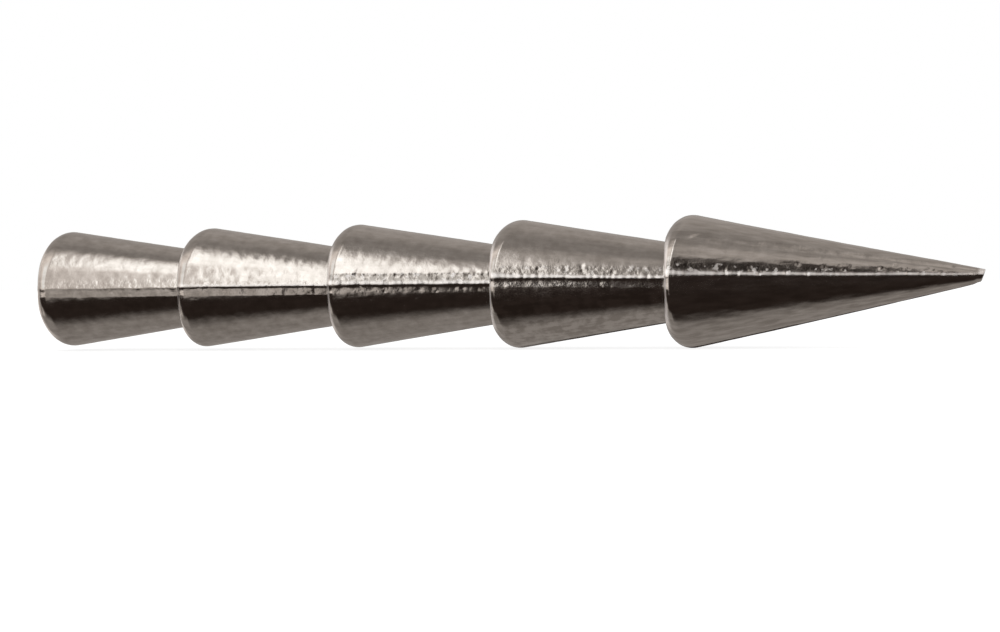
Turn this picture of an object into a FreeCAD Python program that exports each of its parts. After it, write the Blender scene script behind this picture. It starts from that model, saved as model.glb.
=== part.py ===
import FreeCAD, Part
import math
import os

import Sketcher

# A pagoda nail sinker: the solid weight that is pushed point first into a soft fishing lure.
# It lies along X, in millimetres. The origin is the centre of the flat tail face, the point
# is at +X and +Z is up. Five cones follow each other, each with its own flat back, and each
# widens backwards to a rounded shoulder, the barb that keeps the weight in the lure. The flat
# front of a cone is the neck on which the next cone's back sits.

# Alias, value in millimetres, meaning.
DIMENSIONS = (
    ("tail_length", 3.76, "length of the rearmost cone"),
    ("length_step", 0.136, "how much longer a cone is than the one behind it"),
    ("nose_length", 7.274, "length of the pointed cone"),
    ("tail_shoulder", 1.438, "radius of the rearmost shoulder"),
    ("shoulder_step", 0.031, "how much wider a shoulder is than the one behind it"),
    ("rim_round", 0.515, "rounding of each shoulder's rim, from its flat back to its flank"),
    ("neck_radius", 0.938, "radius of each neck, where the next cone's flat back starts"),
    ("tip_radius", 0.135, "radius of the blunt tip"),
    ("tip_round", 0.04, "rounding of the tip's edge"),
)
CONES = ("tail_cone", "second_cone", "third_cone", "fourth_cone", "nose_cone")
NOSE = CONES[-1]

# Where a half section is drawn before its constraints pull it to size.
DRAFT_LENGTH = 4.0
DRAFT_NECK = 1.0
DRAFT_ROUND = 0.5
DRAFT_FLANK_ANGLE = math.radians(9)

START, END = 1, 2  # the two ends of a sketch line or arc
AXES = -1  # the sketch's own origin and horizontal axis


def make_sheet(doc):
    sheet = doc.addObject("Spreadsheet::Sheet", "dimensions")
    for row, (alias, value, meaning) in enumerate(DIMENSIONS, start=1):
        sheet.set(f"A{row}", str(value))
        sheet.setAlias(f"A{row}", alias)
        sheet.set(f"B{row}", meaning)
    return sheet


def cone_expressions(number):
    """A cone's sizes and place as expressions on the sheet; number 0 is the rearmost cone."""
    pairs = number * (number - 1) // 2
    sizes = {
        "start": f"{number} * dimensions.tail_length + {pairs} * dimensions.length_step",
        "length": f"dimensions.tail_length + {number} * dimensions.length_step",
        "rim_round": "dimensions.rim_round",
        "back_radius": f"dimensions.tail_shoulder + {number} * dimensions.shoulder_step"
        " - dimensions.rim_round",
        "front_radius": "dimensions.neck_radius",
    }
    if CONES[number] == NOSE:
        sizes["length"] = "dimensions.nose_length"
        sizes["front_radius"] = "dimensions.tip_radius"
    return sizes


def origin_plane(body, role):
    return next(item for item in body.Origin.OriginFeatures if item.Role == role)


def draw_half_section(sketch):
    """The five edges of a half section, roughly in place: back, rim, flank, front and axis."""
    centre = FreeCAD.Vector(DRAFT_ROUND, DRAFT_NECK, 0)
    circle = Part.Circle(centre, FreeCAD.Vector(0, 0, 1), DRAFT_ROUND)
    rim_curve = Part.ArcOfCircle(circle, math.pi / 2 - DRAFT_FLANK_ANGLE, math.pi)
    tail_centre = FreeCAD.Vector(0, 0, 0)
    rim_start = FreeCAD.Vector(0, DRAFT_NECK, 0)
    rim_end = rim_curve.StartPoint
    front_corner = FreeCAD.Vector(DRAFT_LENGTH, DRAFT_NECK, 0)
    front_centre = FreeCAD.Vector(DRAFT_LENGTH, 0, 0)
    back = sketch.addGeometry(Part.LineSegment(tail_centre, rim_start))
    rim = sketch.addGeometry(rim_curve)
    flank = sketch.addGeometry(Part.LineSegment(rim_end, front_corner))
    front = sketch.addGeometry(Part.LineSegment(front_corner, front_centre))
    axis = sketch.addGeometry(Part.LineSegment(front_centre, tail_centre))
    return back, rim, flank, front, axis


def constrain_half_section(sketch, edges, sizes):
    """Closes the half section and binds its sizes to the sheet."""
    back, rim, flank, front, axis = edges
    for constraint in (
        Sketcher.Constraint("Coincident", back, START, AXES, START),
        Sketcher.Constraint("Vertical", back),
        Sketcher.Constraint("Tangent", back, END, rim, END),
        Sketcher.Constraint("Tangent", rim, START, flank, START),
        Sketcher.Constraint("Coincident", flank, END, front, START),
        Sketcher.Constraint("Vertical", front),
        Sketcher.Constraint("Coincident", front, END, axis, START),
        Sketcher.Constraint("Coincident", axis, END, AXES, START),
        Sketcher.Constraint("Horizontal", axis),
    ):
        sketch.addConstraint(constraint)
    measures = {
        "back_radius": Sketcher.Constraint("DistanceY", back, START, back, END, DRAFT_NECK),
        "rim_round": Sketcher.Constraint("Radius", rim, DRAFT_ROUND),
        "length": Sketcher.Constraint("DistanceX", axis, END, axis, START, DRAFT_LENGTH),
        "front_radius": Sketcher.Constraint("DistanceY", front, END, front, START, DRAFT_NECK),
    }
    for name, constraint in measures.items():
        number = sketch.addConstraint(constraint)
        sketch.renameConstraint(number, name)
        sketch.setExpression(f"Constraints.{name}", sizes[name])


def make_cone(doc, number):
    """One cone, revolved about X from its half section and set in its place on the axis."""
    name = CONES[number]
    sizes = cone_expressions(number)
    body = doc.addObject("PartDesign::Body", name)
    body.Label = name
    body.setExpression("Placement.Base.x", sizes["start"])
    sketch = body.newObject("Sketcher::SketchObject", f"{name}_half_section")
    sketch.AttachmentSupport = (origin_plane(body, "XY_Plane"), "")
    sketch.MapMode = "FlatFace"
    constrain_half_section(sketch, draw_half_section(sketch), sizes)
    doc.recompute()
    revolution = body.newObject("PartDesign::Revolution", f"{name}_revolution")
    revolution.Profile = sketch
    revolution.ReferenceAxis = (sketch, ["H_Axis"])
    revolution.Angle = 360
    doc.recompute()
    return body


def round_tip(doc, nose):
    """Breaks the edge between the nose's flank and its blunt front."""
    revolution = nose.Tip
    front = max(edge.CenterOfMass.x for edge in revolution.Shape.Edges)
    tip_edges = []
    for number, edge in enumerate(revolution.Shape.Edges, start=1):
        if math.isclose(edge.BoundBox.XMin, front, abs_tol=1e-4):
            tip_edges.append(f"Edge{number}")
    fillet = nose.newObject("PartDesign::Fillet", "tip_fillet")
    fillet.Base = (revolution, tip_edges)
    fillet.setExpression("Radius", "dimensions.tip_round")
    doc.recompute()


def check(doc, bodies):
    """Stops if anything in the document failed or a cone isn't one sound solid."""
    for item in doc.Objects:
        if "Invalid" in item.State or "Error" in item.State:
            raise RuntimeError(f"{item.Label} is {item.State}")
    for body in bodies:
        if body.Shape.isNull() or not body.Shape.isValid() or len(body.Shape.Solids) != 1:
            raise RuntimeError(f"{body.Label} isn't one valid solid")


def write_parts(bodies):
    os.makedirs("parts", exist_ok=True)
    for body in bodies:
        body.Shape.exportStep(f"parts/{body.Label}.step")
        box = body.Shape.optimalBoundingBox()
        print(f"{body.Label}: x {box.XMin:.3f} to {box.XMax:.3f}, "
              f"diameter {box.ZLength:.3f}, volume {body.Shape.Volume:.3f} mm3")
    print(f"all cones: volume {sum(body.Shape.Volume for body in bodies):.3f} mm3")


def main():
    doc = FreeCAD.newDocument("nail_sinker")
    make_sheet(doc)
    doc.recompute()
    bodies = [make_cone(doc, number) for number in range(len(CONES))]
    round_tip(doc, bodies[-1])
    doc.recompute()
    check(doc, bodies)
    write_parts(bodies)


main()
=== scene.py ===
import math
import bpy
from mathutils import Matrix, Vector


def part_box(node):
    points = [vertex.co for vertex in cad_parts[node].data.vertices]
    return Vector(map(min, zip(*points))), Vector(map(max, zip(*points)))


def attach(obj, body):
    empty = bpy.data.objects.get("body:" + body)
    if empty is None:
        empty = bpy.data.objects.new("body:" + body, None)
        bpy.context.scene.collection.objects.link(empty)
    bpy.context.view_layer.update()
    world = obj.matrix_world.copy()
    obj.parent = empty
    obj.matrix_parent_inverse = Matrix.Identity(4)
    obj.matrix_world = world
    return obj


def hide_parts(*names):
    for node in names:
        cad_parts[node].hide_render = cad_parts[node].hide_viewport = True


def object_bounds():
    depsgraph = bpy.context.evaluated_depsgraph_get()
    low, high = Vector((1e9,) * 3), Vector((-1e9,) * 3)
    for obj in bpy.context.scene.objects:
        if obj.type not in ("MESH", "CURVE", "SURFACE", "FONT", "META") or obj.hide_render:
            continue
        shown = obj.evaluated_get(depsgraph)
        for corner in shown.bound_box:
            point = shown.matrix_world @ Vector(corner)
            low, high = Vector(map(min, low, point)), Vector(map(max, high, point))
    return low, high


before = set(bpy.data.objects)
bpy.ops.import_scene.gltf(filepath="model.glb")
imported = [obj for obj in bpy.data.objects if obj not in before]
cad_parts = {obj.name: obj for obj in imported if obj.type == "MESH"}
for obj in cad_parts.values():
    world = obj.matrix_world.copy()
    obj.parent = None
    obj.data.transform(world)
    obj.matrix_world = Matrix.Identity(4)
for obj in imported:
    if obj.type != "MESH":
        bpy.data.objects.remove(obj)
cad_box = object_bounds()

from types import SimpleNamespace

import bpy
import numpy as np
from mathutils import Matrix, Vector, noise

# A nail sinker: a solid tungsten weight of five cones, lying along X with its point at +X.
# The mesh of each cone carries what pressing, sintering and tumbling leave on the real one:
# the parting-line ridge on its rough land, pits, lengthwise streaks and orange peel.

MM = 0.001

# Sizes that all the cones share, in metres.
NECK_RADIUS = 0.938 * MM
TIP_RADIUS = 0.135 * MM
TIP_ROUND = 0.02 * MM
TIP_SLANT = 0.36  # the blunt tip is cut on the slant: metres back per metre down
TIP_CUT = 0.3 * MM  # how far from the tip the slant sets in
TIP_LIGHTENED = 0.18 * MM  # how far from the tip its upper side is made lighter
NOSE_LIFT = 0.065 * MM  # the nose is bent up, by this much at its tip
NECK_SUNK = 0.10 * MM  # how far a neck runs into the flat back of the next cone
RIM_ROUND = 0.515 * MM  # the rim's rounding in the CAD model
RIM_SET = 0.028 * MM  # how far in front of the CAD model's back a cone's back sits at its sides
RIM_BACK = 0.226  # and how much further, per metre that the rim is sharper there
SWELL = 0.012 * MM  # all the flanks stand this much proud of the CAD cones

# Mesh spacing: rings from the back of a cone to its front, and columns around it.
RING_GAP = 0.032 * MM  # between the rings of a flank
BACK_RINGS = 22
RIM_RINGS = 30
TIP_RINGS = 7
FRONT_RINGS = 5
BACK_CAP = 0.02 * MM  # radius of the cap in the middle of the back
FRONT_CAP = 0.1  # radius of the cap in the middle of the front, as a share of the front's
COLUMNS = 320
CROWDING = 3.2  # how much denser the columns are at a ridge than between the ridges
CROWDED = math.radians(14)  # and how far from the ridge
FINE_ANGLES = 4001  # in how many places their density is summed

# What the keys of a cone mean, sizes in mm:
#   node, piece         its CAD node, and the name of its piece
#   ridge               degrees from the side that faces -Y up to its ridge
#   above, below        how far the rough land reaches above and below the ridge
#   crest, wide         how high and how wide the ridge is
#   score               how deep the line scored above the ridge is
#   pits                how many pits there are, and how deep they are above and below the ridge
#   top, under, beside  the rim's rounding at the top, underneath and at the sides
#   narrow              how closely the sides' rounding keeps to the sides, as a power
#   lift                how far the cone sits above the axis
#   peel, streaks       how strong the orange peel and the lengthwise streaks are
#   drawn               how far the stains are drawn out lengthwise, from 0 to 1
#   tarnish             how much the land above the ridge is tarnished, from 0 to 1
#   mottle              how strong the stains below the ridge are; above it they are 1
#   highlight_and_lightening, edge   how strongly ridge and rim edge are lightened as a painted highlight, and over what share of the rim
CONES = (
    dict(node="tail_cone", piece="tail_barb", ridge=0.0, above=0.22, below=0.20,
         crest=0.004, wide=0.045, score=0.000, pits=(20, 0.002, 0.003),
         top=0.50, under=0.50, beside=0.29, narrow=5, lift=-0.003,
         peel=0.0024, streaks=0.0005, drawn=0.3, tarnish=0.0, mottle=1.3, highlight_and_lightening=0.0, edge=0.4),
    dict(node="second_cone", piece="second_barb", ridge=0.8, above=0.14, below=0.22,
         crest=0.012, wide=0.045, score=0.000, pits=(26, 0.002, 0.003),
         top=0.56, under=0.345, beside=0.24, narrow=3, lift=-0.003,
         peel=0.0028, streaks=0.0005, drawn=0.3, tarnish=0.0, mottle=1.3, highlight_and_lightening=0.7, edge=0.45),
    dict(node="third_cone", piece="third_barb", ridge=1.4, above=0.27, below=0.20,
         crest=0.022, wide=0.062, score=0.008, pits=(34, 0.005, 0.006),
         top=0.52, under=0.44, beside=0.18, narrow=3, lift=-0.005,
         peel=0.0022, streaks=0.0008, drawn=0.4, tarnish=1.0, mottle=1.3, highlight_and_lightening=0.9, edge=0.5),
    dict(node="fourth_cone", piece="fourth_barb", ridge=6.2, above=0.30, below=0.22,
         crest=0.022, wide=0.058, score=0.004, pits=(34, 0.008, 0.001),
         top=0.59, under=0.51, beside=0.11, narrow=2.4, lift=-0.006,
         peel=0.0016, streaks=0.0008, drawn=0.4, tarnish=0.5, mottle=3.0, highlight_and_lightening=1.0, edge=0.5),
    dict(node="nose_cone", piece="nose_point", ridge=6.0, above=0.34, below=0.10,
         crest=0.026, wide=0.080, score=0.000, pits=(70, 0.010, 0.002),
         top=0.56, under=0.52, beside=0.10, narrow=2.4, lift=0.010,
         peel=0.0014, streaks=0.0034, drawn=0.8, tarnish=1.0, mottle=1.6, highlight_and_lightening=1.0, edge=0.5),
)


# ---------------------------------------------------------------- surface

SEED_STRIDE = 31.7  # how far apart in the noise two seeds are


def smooth_noise(points, size, seed):
    """Noise from about -1 to 1 with bumps of the given size, one size or one per axis."""
    scaled = points / np.asarray(size) + SEED_STRIDE * seed
    return np.array([noise.noise(Vector(point)) for point in scaled])


def smooth_step(value, start, end):
    share = np.clip((value - start) / (end - start), 0, 1)
    return share * share * (3 - 2 * share)


def bell(value, width):
    return np.exp(-(value / width) ** 2)


def column_angles():
    """Angles around the axis from the -Y side over the top, closer together at both ridges."""
    fine = np.linspace(0, 2 * np.pi, FINE_ANGLES)
    to_ridge = np.abs((fine + np.pi / 2) % np.pi - np.pi / 2)
    density = 1 + CROWDING * np.exp(-((to_ridge / CROWDED) ** 4))
    share = np.concatenate([[0], np.cumsum((density[1:] + density[:-1]) / 2)])
    return np.interp(np.linspace(0, share[-1], COLUMNS + 1)[:-1], share, fine)


def profile(length, shoulder, front_radius, is_nose, rounding):
    """One column of a cone's points, from the middle of its back to the middle of its front.

    Each row is x, radius, the outward normal's x and radial parts, and the share of the way
    round the rim from the back to the flank."""
    rows = []
    flat = shoulder - rounding
    for radius in np.linspace(BACK_CAP, flat, BACK_RINGS)[:-1]:
        rows.append((0, radius, -1, 0, 0))
    to_front = Vector((length - rounding, front_radius - flat))
    slope = math.atan2(to_front.y, to_front.x) - math.asin(rounding / to_front.length)
    last = slope + math.pi / 2
    for share in np.linspace(0, 1, RIM_RINGS):
        angle = math.pi + (last - math.pi) * share
        across, out = math.cos(angle), math.sin(angle)
        rows.append((rounding + rounding * across, flat + rounding * out, across, out, share))

    across, out = math.cos(last), math.sin(last)
    start_x, start_r = rows[-1][:2]
    end_x = length - (TIP_ROUND if is_nose else 0)
    drop = (front_radius - start_r) / (length - start_x)
    for x in np.linspace(start_x, end_x, int(length / RING_GAP))[1:]:
        rows.append((x, start_r + drop * (x - start_x), across, out, 1))
    if is_nose:
        edge_r = rows[-1][1] - TIP_ROUND * out
        for angle in np.linspace(last, 0, TIP_RINGS)[1:]:
            across, out = math.cos(angle), math.sin(angle)
            rows.append((end_x + TIP_ROUND * across, edge_r + TIP_ROUND * out, across, out, 1))
    else:
        rows.append((length + NECK_SUNK, front_radius, across, out, 1))
    front_x, front_r = rows[-1][:2]
    for radius in np.linspace(front_r, FRONT_CAP * front_r, FRONT_RINGS)[1:]:
        rows.append((front_x, radius, 1, 0, 1))
    return rows


def cone_rows(cone, length, shoulder, is_nose, angles):
    """Every column of one cone, its rim rounded differently on top, underneath and beside."""
    front_radius = TIP_RADIUS if is_nose else NECK_RADIUS
    columns = []
    for angle in angles:
        end = (cone["top"] if math.sin(angle) > 0 else cone["under"]) * MM
        beside = abs(math.cos(angle)) ** cone["narrow"]
        rounding = end + (cone["beside"] * MM - end) * beside
        column = np.array(profile(length, shoulder, front_radius, is_nose, rounding))
        forward = (RIM_SET + RIM_BACK * (RIM_ROUND - rounding)) * beside
        domed = np.where(column[:, 4] > 0, 1, (column[:, 1] / (shoulder - rounding)) ** 2)
        column[:, 0] += forward * domed * np.clip(1 - column[:, 0] / length, 0, 1)
        columns.append(column)
    return np.stack(columns, axis=1)


def ridge_distance(cone, angle, radius):
    """Distance around from the nearer of the two ridges, positive above it."""
    ridge = math.radians(cone["ridge"])
    from_front = (angle - ridge + np.pi) % (2 * np.pi) - np.pi
    from_back = (np.pi - angle - ridge + np.pi) % (2 * np.pi) - np.pi
    return np.where(np.cos(angle) > 0, from_front, from_back) * radius


OTHER_RIDGE = 3 * MM  # how far off in the noise the ridge on the far side is
RIDGE_WAVER = 0.012 * MM  # how far the ridge strays from a straight line
RIDGE_WAVER_SIZE = 0.5 * MM
SLIMMEST = 0.1
END_FADE = 0.3 * MM  # relief fades out within this radius at the middle of a cone's ends


def surface_places(cone, seed, length, shoulder, is_nose):
    """Where each point of a cone's surface is before it gets its relief, and its normal.

    rings is how many rings of points there are; line is the place along the nearer ridge,
    and arc the distance around from it, positive above; slim is 1 where the cone is thick and
    less where it is thin; outer is 0 in the middle of its ends and 1 elsewhere."""
    angles = column_angles()
    rows = cone_rows(cone, length, shoulder, is_nose, angles)
    x, radius, normal_x, normal_r, rim = rows.reshape(-1, 5).T
    angle = np.tile(angles, len(rows))
    normal = np.stack([normal_x, -normal_r * np.cos(angle), normal_r * np.sin(angle)], axis=1)
    point = np.stack([x, -radius * np.cos(angle), radius * np.sin(angle)], axis=1)
    slim = np.clip(radius / (shoulder if is_nose else NECK_RADIUS), SLIMMEST, 1)
    outer = smooth_step(radius, 0.0, END_FADE)
    line = np.stack([x, 0 * x, np.where(np.cos(angle) > 0, 0.0, OTHER_RIDGE)], axis=1)
    waver = RIDGE_WAVER * smooth_noise(line, RIDGE_WAVER_SIZE, seed)
    arc = ridge_distance(cone, angle, radius) - waver
    return SimpleNamespace(rings=len(rows), x=x, radius=radius, angle=angle, rim=rim, slim=slim,
                           outer=outer, line=line, arc=arc, point=point, normal=normal)


# How far the land's edge swings in and out, as a share of its reach, and over what length.
EDGE_SWING = 0.10
EDGE_SIZE = 0.35 * MM
JAGS_ABOVE = 0.10
JAGS_BELOW = 0.05
JAG_SIZE = 0.08 * MM
LAND_FADE = 0.3  # how softly the land ends
LEAST_RADIUS = 0.2 * MM  # where the cone is thinner than this, the flat gets no deeper


def land_relief(cone, seed, at):
    """The land along each ridge: each point's share of it, and its height.

    Its edge is ragged, and below the ridge it is flat."""
    ragged = 1 + EDGE_SWING * smooth_noise(at.line, EDGE_SIZE, seed + 10)
    jags = np.where(at.arc > 0, JAGS_ABOVE, JAGS_BELOW)
    jagged = jags * smooth_noise(at.point, JAG_SIZE, seed + 11)
    reach = np.where(at.arc > 0, cone["above"], cone["below"]) * MM * at.slim * (ragged + jagged)
    share = np.clip(np.abs(at.arc) / reach, 0, 1)
    land = smooth_step(1 - share ** 2, 0.0, LAND_FADE)
    facet = np.where(at.arc < 0, share * (1 - share), 0)
    return land, -facet * reach ** 2 / (2 * np.maximum(at.radius, LEAST_RADIUS))


THIN_WIDTH = 0.6  # the ridge's width where the cone is thinnest, as a share of its own
BACK_WIDTH = 1.2  # and how much wider it is at the cone's back
BACK_WIDTH_SIZE = 0.35 * MM
WIDTH_ABOVE = 1.1  # its slope is gentler above than below
WIDTH_BELOW = 0.8
BEAD_MEAN = 0.8  # its height varies like a string of beads, about this share of its crest
BEAD_SWING = 0.5
BEAD_SIZE = 0.09 * MM


def ridge_width(cone, at):
    thin = THIN_WIDTH + (1 - THIN_WIDTH) * at.slim
    return cone["wide"] * MM * thin * (1 + BACK_WIDTH * np.exp(-at.x / BACK_WIDTH_SIZE))


def ridge_relief(cone, at, wide, beaded):
    """Height of the ridge itself."""
    slope = np.where(at.arc > 0, WIDTH_ABOVE, WIDTH_BELOW) * wide
    return cone["crest"] * MM * at.slim ** 0.5 * beaded * bell(at.arc, slope)


# The scored line: how far above the ridge it runs, how far it wanders, how it is broken.
SCORE_UP = 0.22 * MM
SCORE_WANDER = 0.025 * MM
SCORE_WANDER_SIZE = 0.3 * MM
SCORE_MEAN = 0.8
SCORE_SWING = 1.2
SCORE_PIECE = 0.12 * MM
SCORE_WIDE = 0.04 * MM


def scored_line(cone, seed, at):
    """Depth of the broken line scored above the ridge."""
    wander = SCORE_WANDER * smooth_noise(at.line, SCORE_WANDER_SIZE, seed + 14)
    place = SCORE_UP * at.slim + wander
    broken = SCORE_MEAN + SCORE_SWING * smooth_noise(at.line, SCORE_PIECE, seed + 13)
    return cone["score"] * MM * np.clip(broken, 0, 1) * bell(at.arc - place, SCORE_WIDE)


PIT_START = 0.3 * MM  # the first part of a cone, its rim, has none
PIT_SPREAD = 0.16 * MM  # how far from the ridge they are strewn
PIT_RADII = (0.025, 0.06)  # mm
PIT_DEPTHS = (0.3, 1.0)  # as a share of the cone's own depth
PIT_SEED = 100


def pits(number, count, above, below, length, at):
    """Depth of small round dents strewn along the land, up to so deep above and below, in mm."""
    random = np.random.default_rng(PIT_SEED + number)
    depth = np.zeros(at.arc.shape)
    for _ in range(count):
        place = random.uniform(PIT_START, length)
        off_ridge = random.normal(0.0, PIT_SPREAD)
        radius = random.uniform(*PIT_RADII) * MM
        deep = random.uniform(*PIT_DEPTHS) * (above if off_ridge > 0 else below)
        far = ((at.x - place) ** 2 + (at.arc - off_ridge) ** 2) / radius ** 2
        depth = np.maximum(depth, deep * np.exp(-far))
    return depth


NICK_ALONG = 0.78 * MM
NICK_UP = math.radians(44)
NICK_DEEP = 0.012  # mm
NICK_LONG = 0.12 * MM
NICK_WIDE = 0.035 * MM
NICK_LEAN = 0.4  # metres up per metre along


def nick(at):
    """Depth of the small slanting dent in the nose, in mm."""
    along = at.x - NICK_ALONG
    around = (at.angle - NICK_UP) * at.radius
    return NICK_DEEP * bell(along, NICK_LONG) * bell(around - NICK_LEAN * along, NICK_WIDE)


# Bumps over whole cones, in mm; a size is along X, Y and Z.
WAVE_HEIGHT = 0.006
WAVE_SIZE = (2.5, 0.9, 0.9)
PEEL_SIZE = (0.17, 0.17, 0.17)
STREAK_SIZE = (2.6, 0.1, 0.1)
FINE_STREAK_SIZE = (2.0, 0.05, 0.05)
FINE_STREAKS = 0.4  # how strong the fine streaks are, as a share of the others


def skin_layers(cone):
    """The bumps over a whole cone: height, size, and what to add to the seed."""
    return (
        (cone["peel"], PEEL_SIZE, 20),
        (WAVE_HEIGHT, WAVE_SIZE, 22),
        (cone["streaks"], STREAK_SIZE, 23),
        (cone["streaks"] * FINE_STREAKS, FINE_STREAK_SIZE, 24),
    )


RIDGE_HIGHLIGHT_UP = 0.4  # how far above its crest the painted highlight on the ridge is strongest, as a share of its width
RIDGE_HIGHLIGHT_WIDE = 0.6  # and how wide
EDGE_FADE = 0.18  # over what share of the rim the painted highlight on its edge fades out
EDGE_NONE = 0.85  # sine of the angle up or down beyond which the edge gets no painted highlight
EDGE_FULL = 0.55  # and within which it gets all of it
LAND_BELOW = 0.5  # how rough the land below the ridge is, as a share of the land above
DULL_RIM = 0.15  # over what share of the rim the dull back shines up


def surface_looks(cone, at, length, is_nose, land, wide, beaded):
    """What the material reads at each point."""
    # Painted highlight: a band on the ridge's upper slope, just above its crest, is made lighter
    # for the glint the ridge shows.
    ridge_highlight = bell(at.arc - RIDGE_HIGHLIGHT_UP * wide, RIDGE_HIGHLIGHT_WIDE * wide)
    # Painted highlight: the rim's edge is made lighter at the sides, where it mirrors the bright
    # backdrop.
    edge_highlight = 1 - smooth_step(at.rim, cone["edge"], cone["edge"] + EDGE_FADE)
    edge_highlight = edge_highlight * smooth_step(np.abs(np.sin(at.angle)), EDGE_NONE, EDGE_FULL)
    highlight_and_lightening = np.maximum(ridge_highlight * beaded, edge_highlight) * at.outer
    if is_nose:
        at_tip = smooth_step(at.x, length - TIP_LIGHTENED, length - 0.5 * TIP_LIGHTENED)
        highlight_and_lightening = np.maximum(highlight_and_lightening, at_tip * (at.arc > 0))
    return {
        "land": land * at.outer * np.where(at.arc > 0, 1.0, LAND_BELOW),
        "highlight_and_lightening": highlight_and_lightening * cone["highlight_and_lightening"],
        "tarnish": land * (at.arc > 0) * (1 - ridge_highlight) * cone["tarnish"],
        "mottle": np.where(at.arc > 0, 1.0, cone["mottle"]),
        "drawn": np.full(len(at.x), cone["drawn"]),
        "dull": 1 - smooth_step(at.rim, 0.0, DULL_RIM),
    }


FRONT_RELIEF = 0.3  # how much relief the front has, as a share of the flank's


def cone_mesh(number, cone):
    """Points of one cone's surface, how many rings they make, and how each point looks."""
    low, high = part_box(cone["node"])
    is_nose = cone["node"] == "nose_cone"
    length, shoulder = high.x - low.x, (high.z - low.z) / 2
    seed = number + 1
    at = surface_places(cone, seed, length, shoulder, is_nose)
    wide = ridge_width(cone, at)
    beaded = BEAD_MEAN + BEAD_SWING * smooth_noise(at.line, BEAD_SIZE, seed + 12)

    land, height = land_relief(cone, seed, at)
    height += ridge_relief(cone, at, wide, beaded)
    height -= scored_line(cone, seed, at)
    height -= pits(number, *cone["pits"], length, at) * MM
    if is_nose:
        height -= nick(at) * MM
    for high_by, size, more in skin_layers(cone):
        height += high_by * MM * smooth_noise(at.point, np.array(size) * MM, seed + more)

    # The flat back has no relief, and the front has little.
    height = np.where(at.rim > 0, height * at.outer, 0)
    height = np.where(at.normal[:, 0] > 0.99, FRONT_RELIEF * height, height)
    height += SWELL * at.rim * at.outer
    point = at.point + at.normal * height[:, None]
    if is_nose:
        near_tip = smooth_step(at.x, length - TIP_CUT, length - TIP_ROUND)
        point[:, 0] -= TIP_SLANT * near_tip * (TIP_RADIUS - point[:, 2])
        point[:, 2] += NOSE_LIFT * (np.maximum(point[:, 0], 0) / length) ** 2
    point += (low.x, 0, cone["lift"] * MM)
    return point, at.rings, surface_looks(cone, at, length, is_nose, land, wide, beaded)


def build_piece(name, point, ring_count, looks):
    """A closed mesh from rings of points, with a cap at each end."""
    faces = []
    for ring in range(ring_count - 1):
        first, second = ring * COLUMNS, (ring + 1) * COLUMNS
        for column in range(COLUMNS):
            beside = (column + 1) % COLUMNS
            faces.append((first + column, first + beside, second + beside, second + column))
    faces.append(tuple(reversed(range(COLUMNS))))
    last = (ring_count - 1) * COLUMNS
    faces.append(tuple(range(last, last + COLUMNS)))
    mesh = bpy.data.meshes.new(name)
    mesh.from_pydata([tuple(p) for p in point], [], faces)
    mesh.validate()
    for attribute, values in looks.items():
        data = mesh.attributes.new(attribute, "FLOAT", "POINT").data
        data.foreach_set("value", values.astype(np.float32))
    mesh.polygons.foreach_set("use_smooth", [True] * len(mesh.polygons))
    mesh.update()
    piece = bpy.data.objects.new(name, mesh)
    bpy.context.scene.collection.objects.link(piece)
    return piece


# ---------------------------------------------------------------- node arithmetic

class Value:
    """A number in a node tree, so that a sum of nodes can be written as a sum."""

    def __init__(self, tree, socket):
        self.tree = tree
        self.socket = socket

    def math(self, operation, other=None):
        node = self.tree.nodes.new("ShaderNodeMath")
        node.operation = operation
        self.tree.links.new(self.socket, node.inputs[0])
        if isinstance(other, Value):
            self.tree.links.new(other.socket, node.inputs[1])
        elif other is not None:
            node.inputs[1].default_value = other
        return Value(self.tree, node.outputs[0])

    def __add__(self, other):
        return self.math("ADD", other)

    def __mul__(self, other):
        return self.math("MULTIPLY", other)

    def __sub__(self, other):
        return self.math("SUBTRACT", other)

    __radd__ = __add__
    __rmul__ = __mul__

    def step(self, start, end):
        """0 before start, 1 after end, and smooth between; end may be below start."""
        node = self.tree.nodes.new("ShaderNodeMapRange")
        node.interpolation_type = "SMOOTHSTEP"
        node.inputs["From Min"].default_value = min(start, end)
        node.inputs["From Max"].default_value = max(start, end)
        node.inputs["To Min"].default_value = 0 if end > start else 1
        node.inputs["To Max"].default_value = 1 if end > start else 0
        self.tree.links.new(self.socket, node.inputs["Value"])
        return Value(self.tree, node.outputs["Result"])

    def blend(self, other, share):
        """This value where share is 0, and the other where it is 1."""
        return self * (share * -1 + 1) + share * other


def noise_value(tree, place, scale, detail=2.0, stretch=None):
    """Noise from 0 to 1, with scale times stretch cells per metre."""
    if stretch is not None:
        mapping = tree.nodes.new("ShaderNodeMapping")
        mapping.inputs["Scale"].default_value = stretch
        tree.links.new(place, mapping.inputs["Vector"])
        place = mapping.outputs["Vector"]
    node = tree.nodes.new("ShaderNodeTexNoise")
    node.inputs["Scale"].default_value = scale
    node.inputs["Detail"].default_value = detail
    tree.links.new(place, node.inputs["Vector"])
    return Value(tree, node.outputs["Fac"])


def attribute_value(tree, name):
    node = tree.nodes.new("ShaderNodeAttribute")
    node.attribute_name = name
    return Value(tree, node.outputs["Fac"])


def colour_ramp(tree, value, stops):
    node = tree.nodes.new("ShaderNodeValToRGB")
    for element, (position, colour) in zip(node.color_ramp.elements, stops):
        element.position = position
        element.color = (*colour, 1)
    tree.links.new(value.socket, node.inputs["Fac"])
    return node.outputs["Color"]


def mixed_colour(tree, share, first, second):
    node = tree.nodes.new("ShaderNodeMix")
    node.data_type = "RGBA"
    tree.links.new(share.socket, node.inputs["Factor"])
    tree.links.new(first, node.inputs["A"])
    node.inputs["B"].default_value = (*second, 1)
    return node.outputs["Result"]


# ---------------------------------------------------------------- metal

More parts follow.
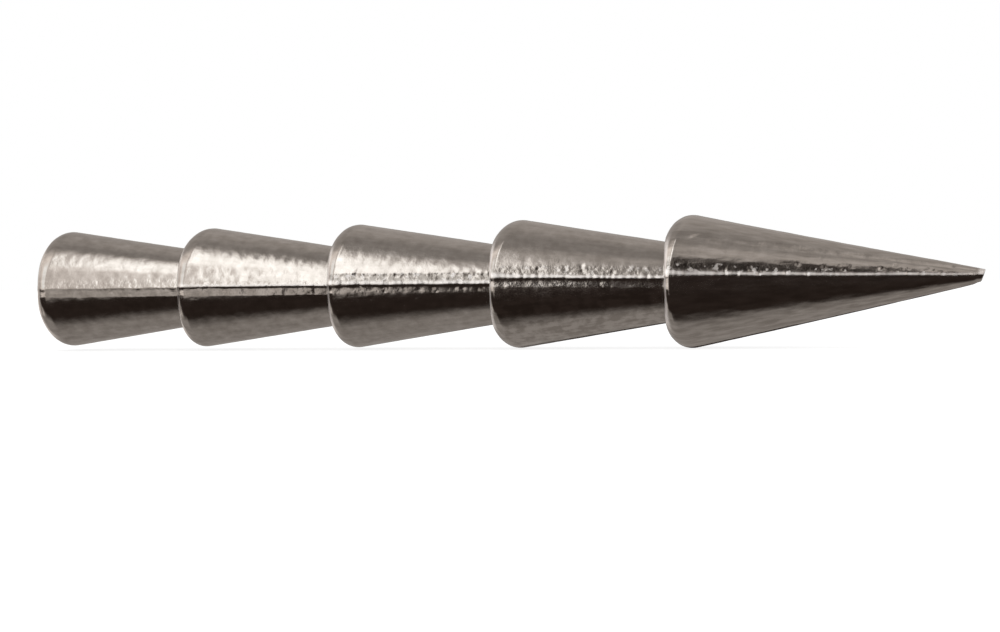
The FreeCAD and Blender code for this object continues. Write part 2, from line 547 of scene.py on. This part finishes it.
STAIN_STOPS = ((0.30, (0.393, 0.368, 0.343)), (0.70, (0.563, 0.538, 0.513)))
TARNISH_COLOUR = (0.2, 0.185, 0.17)
HIGHLIGHT_AND_LIGHTENING_COLOUR = (0.94, 0.93, 0.93)
BUMP_HEIGHT = 0.004 * MM

# Cells per metre of the material's noises: one number, or along X, Y and Z.
PATCHES = 4500
FIBRES = (450, 9000, 9000)
SPOTS = 9000
FLECKS = 6500
ROUGHNESS = 2600
GRAIN = 13000
LINES = (700, 14000, 14000)


def tungsten_material():
    """Sintered tungsten alloy, tumbled bright: stained, mottled, and rougher along the land,
    with a painted highlight that lightens the ridge and the rim's edge.
    """
    material = bpy.data.materials.new("sintered_tungsten")
    material.use_nodes = True
    tree = material.node_tree
    shader = tree.nodes["Principled BSDF"]
    shader.inputs["Metallic"].default_value = 1.0
    place = tree.nodes.new("ShaderNodeTexCoord").outputs["Object"]
    land = attribute_value(tree, "land")
    highlight_and_lightening = attribute_value(tree, "highlight_and_lightening")

    patches = noise_value(tree, place, PATCHES, detail=3)
    fibres = noise_value(tree, place, 1.0, detail=3, stretch=FIBRES)
    stain = patches.blend(fibres, attribute_value(tree, "drawn"))
    stain = (stain - 0.5) * attribute_value(tree, "mottle") + 0.5
    colour = colour_ramp(tree, stain, STAIN_STOPS)
    spots = noise_value(tree, place, SPOTS, detail=3).step(0.28, 0.58)
    tarnish = attribute_value(tree, "tarnish")
    colour = mixed_colour(tree, tarnish * spots * 0.85, colour, TARNISH_COLOUR)
    # Light flecks on the tarnished land add to the painted highlight on ridge and rim edge and
    # the lighter tip; all of it is mixed towards near white.
    flecks = noise_value(tree, place, FLECKS, detail=2).step(0.56, 0.68)
    highlight_and_lightening = highlight_and_lightening + tarnish * flecks * 0.6
    colour = mixed_colour(tree, highlight_and_lightening * 0.9, colour, HIGHLIGHT_AND_LIGHTENING_COLOUR)
    tree.links.new(colour, shader.inputs["Base Color"])

    rough = noise_value(tree, place, ROUGHNESS, detail=3) * 0.12 + 0.08
    rough = rough + highlight_and_lightening * 0.3 + attribute_value(tree, "dull") * 0.3
    tree.links.new(rough.socket, shader.inputs["Roughness"])

    grain = noise_value(tree, place, GRAIN, detail=2)
    lines = noise_value(tree, place, 1.0, detail=3, stretch=LINES)
    relief = (grain - 0.5) * (land * 1.4 + 0.6) + lines * 0.35
    bump = tree.nodes.new("ShaderNodeBump")
    bump.inputs["Strength"].default_value = 0.5
    bump.inputs["Distance"].default_value = BUMP_HEIGHT
    tree.links.new(relief.socket, bump.inputs["Height"])
    tree.links.new(bump.outputs["Normal"], shader.inputs["Normal"])
    return material


# ---------------------------------------------------------------- studio

ROOM_TINT = (1.04, 0.95, 0.885)
GLARE_TINT = (1.03, 1.02, 1.00)
CARD_COLOUR = (0.034, 0.024, 0.020)
FRONT = 0.968  # how far someone in front looks along +Y for each metre of sight
RIGHT_LEVEL = 1.3  # how bright the lamps at the right are
BEHIND_LEVEL = 0.75  # and the light far round behind the left


class Sight:
    """A direction in which the metal mirrors the studio, as angles in degrees.

    rise goes from level at the front (0) up over the top and back (180), or down (-180);
    turn goes from the left (-90) to the right (90); lift is the height above level; tilt is
    how far back a surface leans that shows this direction to someone in front. left and
    behind are shares: of the left side, and of the light far round behind it."""

    def __init__(self, dx, dy, dz):
        degrees = 180 / math.pi
        self.rise = dz.math("ARCTAN2", dy * -1) * degrees
        self.turn = dx.math("ARCSINE") * degrees
        self.lift = dz.math("ARCSINE") * degrees
        self.tilt = dz.math("ARCTAN2", dy * -1 + FRONT) * degrees
        self.left = self.turn.step(-13, -24)
        level_enough = self.tilt.step(-60, -45)
        self.behind = dy.step(0.4, 0.6) * self.left * level_enough * self.tilt.step(45, 30)


def grey_room(sight):
    """Grey all round: lighter low over the front and overhead, darkest straight behind."""
    rise = sight.rise
    low_front = rise.step(70, 54) * rise.step(-40, -10)
    overhead = rise.step(86, 120)
    under = rise.step(-10, -40)
    straight_behind = rise.math("ABSOLUTE").step(156, 178)
    room = low_front * 0.17 + overhead * 0.15 + 0.34
    room = room * (under * 0.04 + 1) * (straight_behind * -0.6 + 1)

    # Beyond the soft box's right end it is lighter, most of all nearly overhead.
    lighter = (rise.step(20, 40) * 0.25 + rise.step(70, 84) * 0.75) * rise.step(114, 88)
    return room * (sight.turn.step(9, 13) * lighter + 1)


def soft_box(sight):
    """The soft box over the front: its share of the view, how bright it is, and its glare.

    Its upper edge rises to the left. It glares white, but is cream at its lower left and dim
    at its right."""
    rise, turn = sight.rise, sight.turn
    lean = rise + turn.math("MAXIMUM", -9.5) * 3.2
    box = lean.step(54.5, 35) * turn.step(7, 2) + rise.step(58, 50) * turn.step(2, 7)
    box = box * turn.step(12, 9) * rise.step(-24, -12)
    tail = turn.step(-5.2, -6.2)
    glare = turn.step(4.2, -0.8) * turn.step(-12, -10.4) * rise.step(-2, 8)
    glare = glare * (tail * rise.step(50, 32) * -0.82 + 1)
    dim = turn.step(2.5, 5.5) * -0.41 + tail * rise.step(2, -5) * -0.3 + 0.8
    return box, glare * 1.4 + dim, glare


def left_walls(sight):
    """To the left, bright walls between a dim bench and ceiling: their level and their glare."""
    tilt, turn = sight.tilt, sight.turn
    walls = tilt.step(-30, -22) * 0.9 + tilt.step(30, 42) * -0.85 + 0.36
    bright = tilt.step(-4, 4) * tilt.step(30, 20) * turn.step(-58, -50) * sight.left
    end_wall = sight.lift.step(-24, 24) * 0.6 + 0.4
    return (walls + bright * 0.2).blend(end_wall, turn.step(-60, -68)), bright


def right_lamps(sight):
    """To the right, where only other views look, the box goes on, and another hangs behind."""
    rise, turn = sight.rise, sight.turn
    front = rise.step(8, 20) * rise.step(75, 60) * turn.step(25, 29)
    return front + rise.step(98, 112) * rise.step(168, 152) * turn.step(32, 42)


def dark_card(sight):
    """The share of dark card: under the front, taller towards the nose, and low at the back."""
    rise, turn, tilt = sight.rise, sight.turn, sight.tilt
    top = turn.step(-2.4, -1.2) * 13 + turn.step(1, 3) * 20 - 18
    card = (sight.lift - top).step(3, -3)
    card = card.blend(tilt.step(-4, -7) * tilt.step(-34, -26), sight.left)
    tall = (rise + turn.step(13.5, 19) * -14).step(42, 36) * (turn.step(17.5, 20) * -0.4 + 1)
    tall = tall * turn.step(9, 12) * turn.step(27, 23)
    card = card.math("MAXIMUM", tall) * rise.step(-88, -55)
    rear = rise.step(-150, -156) * turn.step(-13, -9)
    return card.math("MAXIMUM", rear) * (sight.behind * -1 + 1)


def studio_level(sight):
    """What the metal mirrors: its brightness, the share of glare, and of dark card."""
    box, box_level, glare = soft_box(sight)
    walls, bright = left_walls(sight)
    level = grey_room(sight).blend(box_level, box)
    level = level.blend(walls, sight.left)
    level = level.blend(RIGHT_LEVEL, right_lamps(sight))
    level = level.blend(BEHIND_LEVEL, sight.behind)
    return level, (glare * box).blend(bright, sight.left), dark_card(sight)


def studio_world():
    """Even white light; what the metal mirrors is the soft box, the dark card and the room."""
    world = bpy.data.worlds.new("studio")
    bpy.context.scene.world = world
    world.use_nodes = True
    tree = world.node_tree
    tree.nodes.clear()
    parts = tree.nodes.new("ShaderNodeSeparateXYZ")
    tree.links.new(tree.nodes.new("ShaderNodeTexCoord").outputs["Generated"], parts.inputs[0])
    sight = Sight(*[Value(tree, socket) for socket in parts.outputs])
    level, glare, card = studio_level(sight)
    seen = tree.nodes.new("ShaderNodeCombineColor")
    for socket, room, lamp, dark in zip(seen.inputs, ROOM_TINT, GLARE_TINT, CARD_COLOUR):
        light = level * (glare * (lamp - room) + room)
        tree.links.new(light.blend(dark, card).socket, socket)
    studio = tree.nodes.new("ShaderNodeBackground")
    tree.links.new(seen.outputs[0], studio.inputs["Color"])
    white = tree.nodes.new("ShaderNodeBackground")
    white.inputs["Color"].default_value = (1, 1, 1, 1)
    white.inputs["Strength"].default_value = 1.0
    mix = tree.nodes.new("ShaderNodeMixShader")
    glossy = tree.nodes.new("ShaderNodeLightPath").outputs["Is Glossy Ray"]
    tree.links.new(glossy, mix.inputs["Fac"])
    tree.links.new(white.outputs[0], mix.inputs[1])
    tree.links.new(studio.outputs[0], mix.inputs[2])
    out = tree.nodes.new("ShaderNodeOutputWorld")
    tree.links.new(mix.outputs[0], out.inputs["Surface"])


FLOOR_HALF = 1.5  # metres
FLOOR_GREY = 0.3
FLOOR_GLOW = 0.82


def pale_floor(height):
    """A wide pale floor that glows, so that it is white and the weight's shadow stays faint."""
    corners = [(x, y, height) for x, y in ((-1, -1), (1, -1), (1, 1), (-1, 1))]
    corners = [(FLOOR_HALF * x, FLOOR_HALF * y, z) for x, y, z in corners]
    mesh = bpy.data.meshes.new("floor")
    mesh.from_pydata(corners, [], [(0, 1, 2, 3)])
    floor = bpy.data.objects.new("floor", mesh)
    bpy.context.scene.collection.objects.link(floor)
    material = bpy.data.materials.new("pale_floor")
    material.use_nodes = True
    shader = material.node_tree.nodes["Principled BSDF"]
    shader.inputs["Base Color"].default_value = (FLOOR_GREY, FLOOR_GREY, FLOOR_GREY, 1)
    shader.inputs["Roughness"].default_value = 0.9
    shader.inputs["Specular IOR Level"].default_value = 0.0
    shader.inputs["Emission Color"].default_value = (1, 1, 1, 1)
    shader.inputs["Emission Strength"].default_value = FLOOR_GLOW
    mesh.materials.append(material)
    floor.visible_glossy = False


CAMERA_AIM = (11.686 * MM, 0, 0)  # the point on the axis that it stands in front of
CAMERA_DISTANCE = 51.14 * MM
CAMERA_YAW = math.radians(14.5)  # it stands this far round towards the nose
CAMERA_PITCH = math.radians(0.864)  # and looks this far down
CAMERA_ROLL = math.radians(0.64)
CAMERA_LENS = 76.2
CAMERA_SENSOR = 36


def camera():
    """Level with the axis, and turned towards the nose."""
    data = bpy.data.cameras.new("camera")
    data.sensor_width = CAMERA_SENSOR
    data.lens = CAMERA_LENS
    data.clip_start = 1 * MM
    data.clip_end = 10
    eye = bpy.data.objects.new("camera", data)
    bpy.context.scene.collection.objects.link(eye)
    outward = Vector((math.sin(CAMERA_YAW), -math.cos(CAMERA_YAW), 0))
    eye.location = Vector(CAMERA_AIM) + CAMERA_DISTANCE * outward
    turn = Matrix.Rotation(CAMERA_YAW, 4, "Z")
    turn = turn @ Matrix.Rotation(math.pi / 2 - CAMERA_PITCH, 4, "X")
    eye.rotation_euler = (turn @ Matrix.Rotation(-CAMERA_ROLL, 4, "Z")).to_euler()
    bpy.context.scene.camera = eye


# ---------------------------------------------------------------- build

metal = tungsten_material()
for number, cone in enumerate(CONES):
    piece = build_piece(cone["piece"], *cone_mesh(number, cone))
    piece.data.materials.append(metal)
    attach(piece, "root")
    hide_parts(cone["node"])

studio_world()
pale_floor(cad_box[0].z)
camera()
bpy.context.scene.view_settings.view_transform = "Standard"
